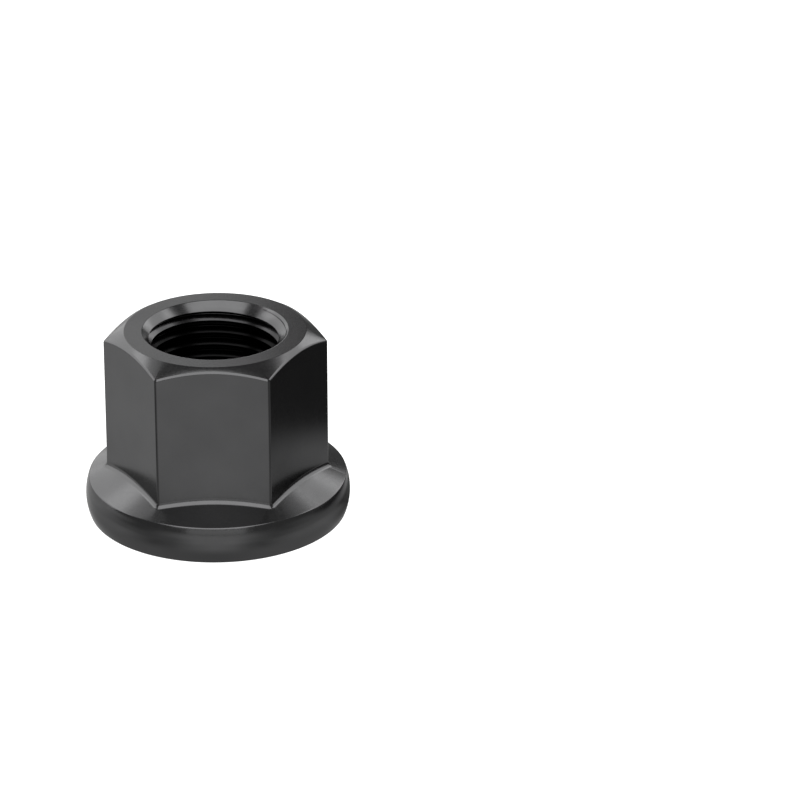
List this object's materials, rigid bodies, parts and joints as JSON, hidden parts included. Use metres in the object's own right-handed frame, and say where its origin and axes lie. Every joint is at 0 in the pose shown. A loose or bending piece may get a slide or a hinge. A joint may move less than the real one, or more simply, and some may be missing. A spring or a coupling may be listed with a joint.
{
  "type": "high flange nut",
  "caption": "Tall hexagon nut with a conical flange forged on its foot, a chamfered crown and a fine metric thread right through.",
  "frame": {"origin": "centre of the flange's bearing face", "axes": "+Z along the thread, from the bearing face up to the crown; -Y square to one of the six flats"},
  "size_m": [0.0302, 0.0302, 0.022],
  "materials": {
    "nut": "satin black oxide on forged and machined steel"
  },
  "bodies": {
    "root": {"flange_nut": "nut"}
  },
  "joints": []
}
